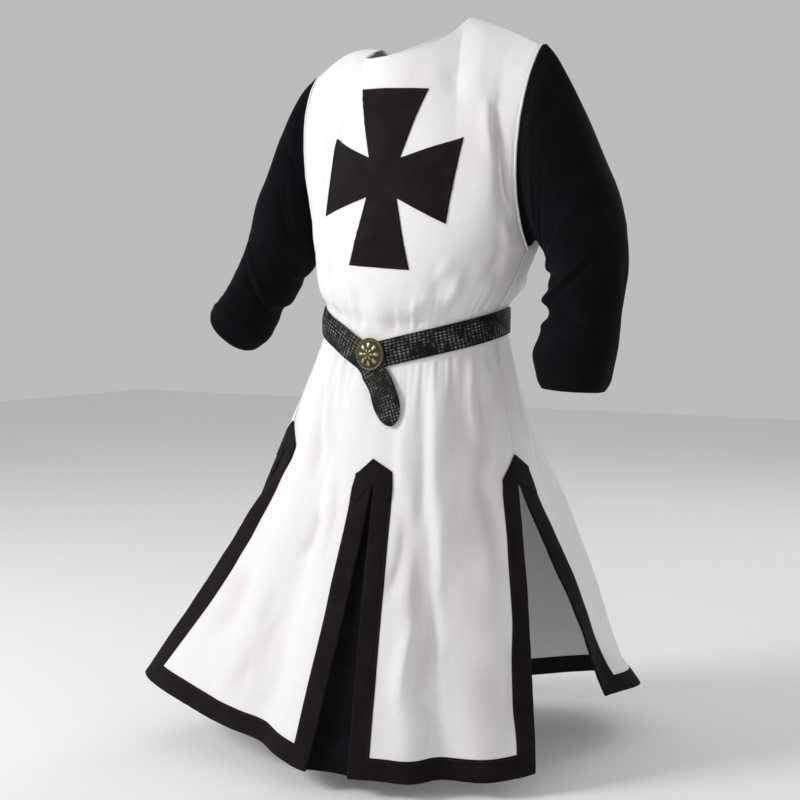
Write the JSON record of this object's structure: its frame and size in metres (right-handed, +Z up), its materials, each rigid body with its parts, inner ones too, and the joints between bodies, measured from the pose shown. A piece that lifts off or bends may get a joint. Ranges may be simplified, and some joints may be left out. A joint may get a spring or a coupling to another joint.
{
  "type": "tabard",
  "caption": "Knight's tabard as it hangs on its wearer: white front and back with a black cross, black sleeves, slit and bound skirt, and a fastened belt. Cloth is rigid.",
  "frame": {"origin": "between the shoulders, at the height where they carry the cloth", "axes": "+Z up, the front looks along -Y, +X to the wearer's left"},
  "size_m": [0.7639, 0.5973, 1.1069],
  "materials": {
    "white_cotton": "matt white cotton twill",
    "black_cotton": "matt black cotton with a short nap",
    "black_binding": "matt black woven tape",
    "black_leather": "embossed black leather",
    "antique_brass": "antique brass with dark hollows"
  },
  "bodies": {
    "root": {"front": "white_cotton", "back": "white_cotton", "sleeve_left": "black_cotton", "sleeve_right": "black_cotton", "cross": "black_binding", "front_gore": "black_cotton", "belt": "black_leather", "buckle": "antique_brass", "binding_front_right_start": "black_binding", "binding_front_right_end": "black_binding", "binding_front_left_start": "black_binding", "binding_front_left_end": "black_binding", "binding_back_left_start": "black_binding", "binding_back_left_end": "black_binding", "binding_back_right_start": "black_binding", "binding_back_right_end": "black_binding", "hem_front_right": "black_binding", "hem_front_left": "black_binding", "hem_back_left": "black_binding", "hem_back_right": "black_binding", "peak_front": "black_binding", "peak_left": "black_binding", "peak_back": "black_binding", "peak_right": "black_binding"}
  },
  "joints": []
}
